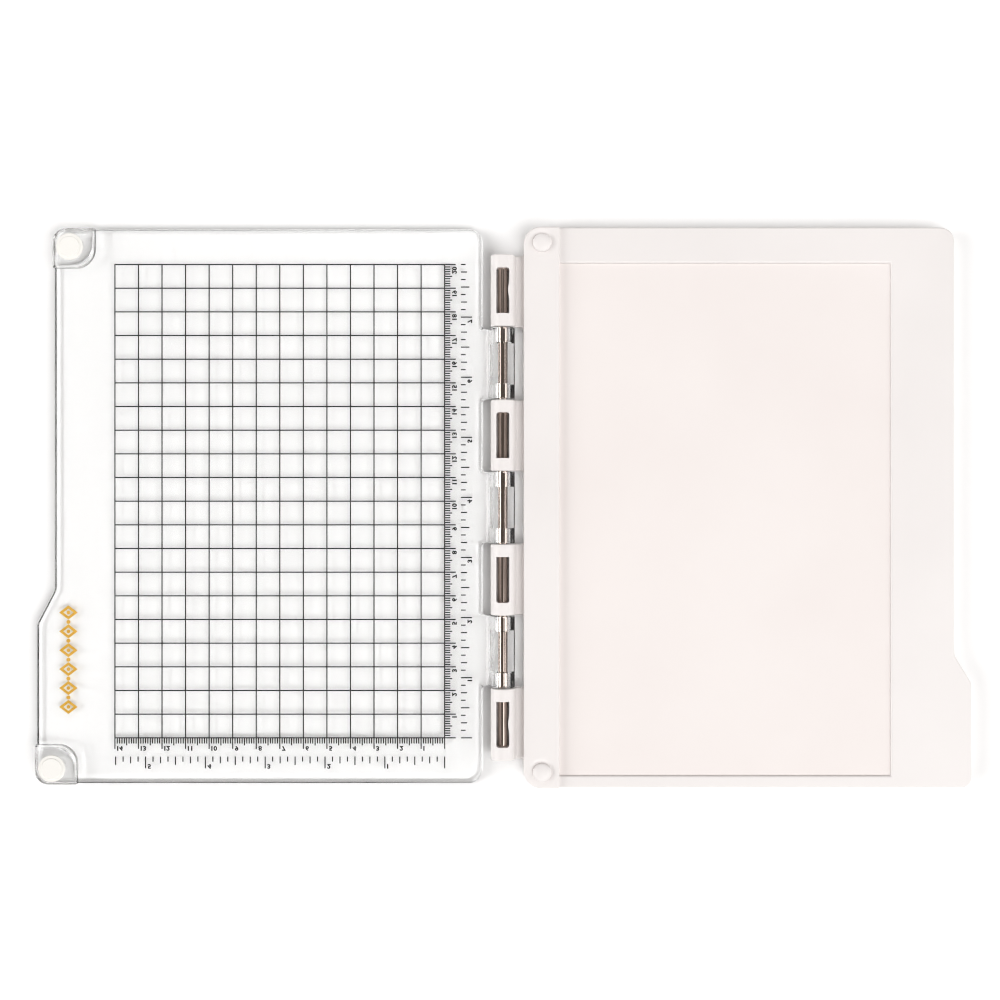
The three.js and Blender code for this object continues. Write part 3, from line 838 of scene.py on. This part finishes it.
def screw(name):
    """A screw with a shallow rounded head, cross slots and a plain shank."""
    low, high = node_box(name)
    centre = node_centre(name)
    radius = (high.x - low.x) / 2
    seat = low.z + SCREW_HEAD
    rim = low.z + SCREW_CROWN
    crown = [(radius * x, rim + SCREW_CROWN * z) for x, z in arc((0, 0), 1, -math.pi / 2, 0, 6)]
    shank = [(SCREW_SHANK, seat), (SCREW_SHANK, high.z - 0.8), (0.4, high.z), (0, high.z)]
    piece = turned(name + "_pan", centre[:2], [(0, low.z), *crown[1:], (radius, seat), *shank], 40)
    arms = []
    for half_x, half_y in (SCREW_SLOT, SCREW_SLOT[::-1]):
        near = (centre.x - half_x, centre.y - half_y, 0)
        far = (centre.x + half_x, centre.y + half_y, low.z + 0.5)
        arms.append(block("arm", near, far))
    cut(piece, *arms)
    finish_surface(piece, SCREW_STEEL)
    fit_piece(piece, "base", [name])


# ---------------------------------------------------------------- lid


def lid_corners():
    """The lid's outline, with a short arm at each of its knuckles."""
    arm_end = LEAF_EDGE - LID_NOTCH_FILLET - 0.3
    hinge_side = []
    for place in range(KNUCKLE_COUNT - 2, 0, -2):
        low, high, _ = knuckle_span(place)
        hinge_side += [
            (-LEAF_EDGE, low, LID_NOTCH_FILLET),
            (-arm_end, low, 0.1),
            (-arm_end, high, 0.1),
            (-LEAF_EDGE, high, LID_NOTCH_FILLET),
        ]
    return [
        (-LEAF_EDGE, LID_LOW.y, LID_HINGE_CORNER),
        *hinge_side,
        (-LEAF_EDGE, LID_HIGH.y, LID_HINGE_CORNER),
        (-LID_EDGE, LID_HIGH.y, LID_CORNER),
        (-LID_EDGE, LID_TAB[1], TAB_RADIUS),
        (-TAB_EDGE, LID_TAB[0], TAB_RADIUS),
        (-TAB_EDGE, LID_LOW.y, LID_CORNER),
    ]


def boss_corners(inner_corner):
    """The corners of both bosses, the one that points into the lid rounded as asked."""
    low_y, high_y = LID_LOW.y, LID_HIGH.y
    square = 0.5
    upper = [
        (-LID_EDGE, high_y - BOSS_LENGTH, square),
        (-LID_EDGE + BOSS_WIDTH, high_y - BOSS_LENGTH, inner_corner),
        (-LID_EDGE + BOSS_WIDTH, high_y, square),
        (-LID_EDGE, high_y, LID_CORNER),
    ]
    lower = [
        (-TAB_EDGE, low_y, LID_CORNER),
        (-TAB_EDGE + BOSS_WIDTH, low_y, square),
        (-TAB_EDGE + BOSS_WIDTH, low_y + BOSS_LENGTH, inner_corner),
        (-TAB_EDGE, low_y + BOSS_LENGTH, square),
    ]
    return upper, lower


def corner_bosses():
    """The raised bosses at the lid's two outer corners."""
    return [rounded_plate("boss", inset(corners, BOSS_INSET), 1, BOSS_TOP, 0.3, BOSS_RIM)
            for corners in boss_corners(BOSS_INNER_CORNER)]


def boss_pockets():
    """A shallow pocket under each boss that leaves a wall all round."""
    pockets = []
    for corners in boss_corners(BOSS_POCKET_CORNER + BOSS_WALL):
        outline = rounded(inset(corners, BOSS_WALL))
        pockets.append(straight_plate("boss_pocket", outline, -1, BOSS_POCKET_HEIGHT))
    return pockets


def lid():
    """The clear plate with its bosses and its three knuckles, one piece."""
    plate = rounded_plate("lid_plate", lid_corners(), 0, LID_THICKNESS, LID_UNDER_RIM, LID_RIM)
    join(plate, *corner_bosses())
    join(plate, *[lid_knuckle(place) for place in range(1, KNUCKLE_COUNT, 2)])
    holes = []
    for name in nodes_named("corner_pad"):
        above = BOSS_TOP + 1
        profile = [(0, PAD_HOLE_BOTTOM), (PAD_HOLE, PAD_HOLE_BOTTOM), (PAD_HOLE, above), (0, above)]
        holes.append(turned("peg_hole", node_centre(name)[:2], profile, 48))
    cut(plate, *holes, *boss_pockets())
    plate.name = "lid_clear"
    finish_surface(plate, ACRYLIC)
    return fit_piece(plate, "lid", ["lid"])


def corner_pad(name):
    """A push-in pad: a peg, a wide rim and a smaller disc on top."""
    low, high = node_box(name)
    radius = (high.x - low.x) / 2
    seat = BOSS_TOP + PAD_GAP
    rim = [(radius - d, z) for d, z in rim_steps(seat, PAD_RIM_TOP, 0.05, 0.3, 4)]
    foot_z = PAD_RIM_TOP + 0.15
    step = [(PAD_DISC + 0.35, PAD_RIM_TOP), (PAD_DISC + 0.1, PAD_RIM_TOP + 0.05), (PAD_DISC, foot_z)]
    crown = arc((PAD_DISC - PAD_CROWN, high.z - PAD_CROWN), PAD_CROWN, 0, math.pi / 2, 4)[1:]
    stem = [(0, low.z), (PAD_STEM - 0.3, low.z), (PAD_STEM, low.z + 0.3), (PAD_STEM, seat)]
    piece = turned(name + "_cap", node_centre(name)[:2], [*stem, *rim, *step, *crown, (0, high.z)], 80)
    finish_surface(piece, PAD)
    return fit_piece(piece, "lid", [name])


# ---------------------------------------------------------------- print on the lid

# The corner of the grid where both rulers start
GRID_X = -24.87
GRID_Y = -97.12
GRID_PITCH = 10
GRID_COLUMNS = 14
GRID_ROWS = 20
LINE_WIDTH = 0.5
TICK_WIDTH = 0.5
INK_HEIGHT = 0.03
INK_LIFT = 0.004
INCH = 25.4
# The side ruler runs along the hinge and the foot ruler below the grid.
# Every how many ticks a longer one comes, and the lengths that go with those steps
CM_STEPS = (10, 5, 1)
CM_TICKS = (4.7, 3.2, 2.4)
INCH_STEPS = (8, 4, 2, 1)
SIDE_INCH_TICKS = (4.7, 3.6, 2.6, 2.0)
FOOT_INCH_TICKS = (5.0, 3.6, 2.9, 2.15)
# The last eighth of an inch on each inch ruler, and how far the rulers stand off the grid
SIDE_EIGHTHS = 63
FOOT_EIGHTHS = 44
SIDE_INCH_GAP = 6.9
FOOT_INCH_GAP = 7.9
# Digit height and widening, the gap to their tick, and how far each row stands off the grid
DIGIT_SIZE = 2.55
DIGIT_STRETCH = 1.12
DIGIT_GAP = 0.9
SIDE_CM_DIGITS = 3.3
SIDE_INCH_DIGITS = 9.8
FOOT_CM_DIGITS = 3.6
FOOT_INCH_DIGITS = 11.2
# The gold border: its line, its ends along the hinge, and the sizes of its lozenges and dots
GOLD_X = -184.0
GOLD_ENDS = (-88.5, -40.5)
LOZENGE_COUNT = 6
LOZENGE = (3.9, 3.0)
LOZENGE_STROKE = 1.05
INNER_DOT = 0.75
OUTER_DOT = 0.85
# The print's size against its ideal, about the top end of the ruler, and where that end lies
PRINT_STRETCH = (0.9977, 1.00235)
PRINT_SHIFT = (0.25, 0.0)


def print_on_lid(piece):
    """Gives a printed piece the small stretch and shift of the real print."""
    fixed = (GRID_X * MM, (GRID_Y + GRID_PITCH * GRID_ROWS) * MM)
    for vertex in piece.data.vertices:
        for axis in (0, 1):
            away = vertex.co[axis] - fixed[axis]
            vertex.co[axis] = fixed[axis] + away * PRINT_STRETCH[axis] + PRINT_SHIFT[axis] * MM
    return fit_piece(piece, "lid", [])


def slab_points(x0, x1, y0, y1, low, high):
    """The eight corners of a slab, the lower four first."""
    return [(x, y, z) for z in (low, high) for x, y in ((x0, y0), (x1, y0), (x1, y1), (x0, y1))]


def ink_slabs(name, rectangles):
    """One printed piece from rectangles (x0, x1, y0, y1) that don't touch one another."""
    low = LID_THICKNESS + INK_LIFT
    points, faces = [], []
    for x0, x1, y0, y1 in rectangles:
        n = len(points)
        points += slab_points(x0, x1, y0, y1, low, low + INK_HEIGHT)
        faces += [(n + 3, n + 2, n + 1, n), (n + 4, n + 5, n + 6, n + 7)]
        faces += [(n + i, n + (i + 1) % 4, n + 4 + (i + 1) % 4, n + 4 + i) for i in range(4)]
    piece = make_object(name, points, faces)
    piece.data.materials.append(BLACK_INK)
    return print_on_lid(piece)


def grid_lines():
    """The centimetre grid as one closed lattice, with a wall wherever ink ends."""
    half = LINE_WIDTH / 2
    xs = [GRID_X - GRID_PITCH * i + s * half for i in range(GRID_COLUMNS, -1, -1) for s in (-1, 1)]
    ys = [GRID_Y + GRID_PITCH * i + s * half for i in range(GRID_ROWS + 1) for s in (-1, 1)]
    low = LID_THICKNESS + INK_LIFT
    points = [(x, y, z) for z in (low, low + INK_HEIGHT) for x in xs for y in ys]
    top = len(xs) * len(ys)
    cells = [(i, j) for i in range(len(xs) - 1) for j in range(len(ys) - 1)]
    inked = [(i, j) for i, j in cells if i % 2 == 0 or j % 2 == 0]
    faces = []
    for i, j in inked:
        ring = [a * len(ys) + b for a, b in ((i, j), (i + 1, j), (i + 1, j + 1), (i, j + 1))]
        faces += [ring, [top + n for n in ring]]
        for k, beside in enumerate(((i, j - 1), (i + 1, j), (i, j + 1), (i - 1, j))):
            if beside not in inked:
                n, m = ring[k], ring[(k + 1) % 4]
                faces.append([n, m, top + m, top + n])
    piece = make_object("grid_lines", points, faces)
    piece.data.materials.append(BLACK_INK)
    return print_on_lid(piece)


def tick_length(i, steps, lengths):
    """The length that goes with the longest step that tick i falls on."""
    return next(length for step, length in zip(steps, lengths) if i % step == 0)


def centimetre_ticks():
    """Millimetre ticks beside the grid and below it."""
    half = TICK_WIDTH / 2
    start = LINE_WIDTH / 2 + 0.01
    beside, below = [], []
    for i in range(GRID_PITCH * GRID_ROWS + 1):
        place, length = GRID_Y + i, tick_length(i, CM_STEPS, CM_TICKS)
        beside.append((GRID_X + start, GRID_X + length, place - half, place + half))
    for i in range(GRID_PITCH * GRID_COLUMNS + 1):
        place, length = GRID_X - i, tick_length(i, CM_STEPS, CM_TICKS)
        below.append((place - half, place + half, GRID_Y - length, GRID_Y - start))
    return ink_slabs("centimetre_ticks", beside + below)


def inch_ticks():
    """Ticks for every eighth of an inch, outside the centimetre ticks."""
    half = TICK_WIDTH / 2
    beside, below = [], []
    for i in range(SIDE_EIGHTHS + 1):
        place = GRID_Y + i * INCH / 8
        near = GRID_X + SIDE_INCH_GAP
        length = tick_length(i, INCH_STEPS, SIDE_INCH_TICKS)
        beside.append((near, near + length, place - half, place + half))
    for i in range(FOOT_EIGHTHS + 1):
        place = GRID_X - i * INCH / 8
        near = GRID_Y - FOOT_INCH_GAP
        length = tick_length(i, INCH_STEPS, FOOT_INCH_TICKS)
        below.append((place - half, place + half, near - length, near))
    return ink_slabs("inch_ticks", beside + below)


def glyph_mesh(text):
    """Flat solid digits one unit tall, a little bold, from their start on the baseline."""
    curve = bpy.data.curves.new("digits", "FONT")
    curve.body = text
    curve.resolution_u = 3
    curve.offset = 0.05
    curve.extrude = 0.01
    source = bpy.data.objects.new("digits", curve)
    bpy.context.scene.collection.objects.link(source)
    bpy.context.view_layer.update()
    mesh = bpy.data.meshes.new_from_object(source.evaluated_get(bpy.context.evaluated_depsgraph_get()))
    bpy.data.objects.remove(source)
    return mesh


def add_numeral(work, text, place, along, up, end_aligned):
    """Adds digits that run along one direction from a place, with their tops up another."""
    mesh = glyph_mesh(text)
    xs = [v.co.x for v in mesh.vertices]
    start = max(xs) if end_aligned else min(xs)
    low = LID_THICKNESS + INK_LIFT
    for vertex in mesh.vertices:
        u = (vertex.co.x - start) * DIGIT_SIZE * DIGIT_STRETCH
        v = vertex.co.y * DIGIT_SIZE
        z = low if vertex.co.z < 0 else low + INK_HEIGHT
        x, y = (place[axis] + along[axis] * u + up[axis] * v for axis in (0, 1))
        vertex.co = Vector((x, y, z)) * MM
    work.from_mesh(mesh)
    bpy.data.meshes.remove(mesh)


def numerals():
    """Ruler numbers, printed reversed so that they read right through the closed lid."""
    work = bmesh.new()
    side_rows = (
        (GRID_PITCH, GRID_ROWS, GRID_X + SIDE_CM_DIGITS),
        (INCH, SIDE_EIGHTHS // 8, GRID_X + SIDE_INCH_DIGITS),
    )
    for pitch, last, x in side_rows:
        for i in range(1, last + 1):
            add_numeral(work, str(i), (x, GRID_Y + pitch * i - DIGIT_GAP), (0, 1), (1, 0), True)
    foot_rows = (
        (GRID_PITCH, GRID_COLUMNS, GRID_Y - FOOT_CM_DIGITS),
        (INCH, FOOT_EIGHTHS // 8, GRID_Y - FOOT_INCH_DIGITS),
    )
    for pitch, last, y in foot_rows:
        for i in range(1, last + 1):
            add_numeral(work, str(i), (GRID_X - pitch * i + DIGIT_GAP, y), (1, 0), (0, -1), False)
    bmesh.ops.remove_doubles(work, verts=work.verts, dist=INK_HEIGHT * MM / 10)
    bmesh.ops.recalc_face_normals(work, faces=work.faces)
    mesh = bpy.data.meshes.new("ruler_numerals")
    work.to_mesh(mesh)
    work.free()
    piece = bpy.data.objects.new("ruler_numerals", mesh)
    bpy.context.scene.collection.objects.link(piece)
    mesh.materials.append(BLACK_INK)
    return print_on_lid(piece)


def lozenge_ring(centre, half_x, half_y, stroke):
    """Points and faces of an open lozenge of one stroke width."""
    low = LID_THICKNESS + INK_LIFT
    inner_x = half_x - stroke * math.hypot(half_x, half_y) / half_y
    inner_y = half_y - stroke * math.hypot(half_x, half_y) / half_x
    points = []
    for z in (low, low + INK_HEIGHT):
        for a, b in ((half_x, half_y), (inner_x, inner_y)):
            turns = ((1, 0), (0, 1), (-1, 0), (0, -1))
            points += [(centre[0] + dx * a, centre[1] + dy * b, z) for dx, dy in turns]
    faces = []
    for i in range(4):
        j = (i + 1) % 4
        faces += [(i, j, 4 + j, 4 + i), (8 + i, 8 + j, 12 + j, 12 + i)]
        faces += [(i, j, 8 + j, 8 + i), (4 + i, 4 + j, 12 + j, 12 + i)]
    return points, faces


def dot(centre, radius):
    """Points and faces of a round dot."""
    sides = 24
    low = LID_THICKNESS + INK_LIFT
    circle = arc(centre, radius, 0, 2 * math.pi, sides)[:-1]
    points = [(x, y, z) for z in (low, low + INK_HEIGHT) for x, y in circle]
    faces = [tuple(range(sides)), tuple(range(sides, 2 * sides))]
    faces += [(i, (i + 1) % sides, sides + (i + 1) % sides, sides + i) for i in range(sides)]
    return points, faces


def gold_motif():
    """A plain border of open lozenges and dots on the finger tab side."""
    start, end = GOLD_ENDS
    pitch = (end - start) / LOZENGE_COUNT
    points, faces = [], []
    shapes = []
    for i in range(LOZENGE_COUNT):
        centre = (GOLD_X, start + pitch * (i + 0.5))
        shapes.append(lozenge_ring(centre, *LOZENGE, LOZENGE_STROKE))
        shapes.append(dot(centre, INNER_DOT))
    for i in range(1, LOZENGE_COUNT):
        shapes.append(dot((GOLD_X, start + pitch * i), OUTER_DOT))
    for shape_points, shape_faces in shapes:
        n = len(points)
        points += shape_points
        faces += [tuple(n + k for k in face) for face in shape_faces]
    piece = make_object("gold_border", points, faces)
    piece.data.materials.append(GOLD_INK)
    return fit_piece(piece, "lid", [])


# ---------------------------------------------------------------- studio

ROOM_COLOUR = (0.22, 0.208, 0.20)
CEILING_COLOUR = (0.17, 0.15, 0.135)
# The room's colour turns to the ceiling's between these two cosines from straight up
CEILING_SPAN = (0.80, 0.97)
# Each soft box: its direction, its light, and the angles from its middle where it fades and ends
SOFT_BOXES = (
    ((1.0, -0.12, 0.52), (2.85, 2.85, 2.85), 18, 23),
    ((-1.0, -0.12, 0.52), (4.8, 4.8, 4.8), 18, 23),
    ((0.42, -0.55, 1.0), (3.7, 3.7, 3.7), 18, 26),
    ((0.0, 0.60, 1.0), (1.1, 1.1, 1.1), 18, 26),
)
# Half the floor's width, and how far it lies below the object's underside
FLOOR_HALF = 40000
FLOOR_DROP = 0.05
# The camera looks straight down from above the hinge; its place is in metres
CAMERA_PLACE = (-0.00118, 0.00315, 0.680)
SENSOR_WIDTH = 36
FOCAL_LENGTH = 57.45
PIXEL_FILTER = 1.1
# Enough for light to find its way through the clear lid, its print and its knuckles
LIGHT_BOUNCES = 28


def camera():
    """The scene's camera, which looks straight down."""
    data = bpy.data.cameras.new("camera")
    data.sensor_width = SENSOR_WIDTH
    data.lens = FOCAL_LENGTH
    data.dof.use_dof = False
    eye = bpy.data.objects.new("camera", data)
    eye.location = CAMERA_PLACE
    bpy.context.scene.collection.objects.link(eye)
    bpy.context.scene.camera = eye


def floor():
    """A matt white table that runs on past the edge of sight."""
    half = FLOOR_HALF
    low = -FLOOR_DROP
    corners = [(-half, -half, low), (half, -half, low), (half, half, low), (-half, half, low)]
    piece = make_object("floor", corners, [(0, 1, 2, 3)])
    material, _, shader = node_material("floor")
    shader.inputs["Base Color"].default_value = (0.93, 0.93, 0.93, 1)
    shader.inputs["Roughness"].default_value = 0.9
    shader.inputs["Specular IOR Level"].default_value = 0.0
    piece.data.materials.append(material)


def sky_dot(tree, direction, vector):
    """How far a sky direction points along a vector."""
    node = tree.nodes.new("ShaderNodeVectorMath")
    node.operation = "DOT_PRODUCT"
    node.inputs[1].default_value = vector
    tree.links.new(direction, node.inputs[0])
    return node.outputs["Value"]


def studio_dome():
    """A dim warm room with soft boxes low at both sides and high in front and behind."""
    world = bpy.data.worlds.new("studio")
    world.use_nodes = True
    tree = world.node_tree
    background = tree.nodes["Background"]
    direction = tree.nodes.new("ShaderNodeTexCoord").outputs["Generated"]
    light = ramp(tree, sky_dot(tree, direction, (0, 0, 1)), ROOM_COLOUR, CEILING_COLOUR, *CEILING_SPAN)
    for aim, colour, inner, outer in SOFT_BOXES:
        spread = sky_dot(tree, direction, Vector(aim).normalized())
        edge = math.cos(math.radians(outer)), math.cos(math.radians(inner))
        box = ramp(tree, spread, (0.0, 0.0, 0.0), colour, *edge)
        add = tree.nodes.new("ShaderNodeVectorMath")
        add.operation = "ADD"
        tree.links.new(light, add.inputs[0])
        tree.links.new(box, add.inputs[1])
        light = add.outputs["Vector"]
    tree.links.new(light, background.inputs["Color"])
    bpy.context.scene.world = world


def picture_settings():
    """Plain colours, sharp reflections, a narrow pixel filter and many bounces."""
    scene = bpy.context.scene
    scene.view_settings.view_transform = "Standard"
    scene.cycles.blur_glossy = 0.0
    scene.cycles.filter_width = PIXEL_FILTER
    scene.cycles.max_bounces = LIGHT_BOUNCES
    scene.cycles.transmission_bounces = LIGHT_BOUNCES


def steel_sheet():
    """The CAD's own sheet is kept, and given its steel."""
    materials = frame["nodes"]["steel_sheet"].data.materials
    materials.clear()
    materials.append(SHEET_STEEL)


camera()
floor()
studio_dome()
picture_settings()

base_tray()
bottom_cover()
work_mat()
hinge_rod()
REPEATED = {"rod_plug": rod_plug, "spine_bumper": bumper, "rubber_foot": foot, "cover_screw": screw}
for kind, build in REPEATED.items():
    for node in nodes_named(kind):
        build(node)
steel_sheet()
lid()
for node in nodes_named("corner_pad"):
    corner_pad(node)
grid_lines()
centimetre_ticks()
inch_ticks()
numerals()
gold_motif()
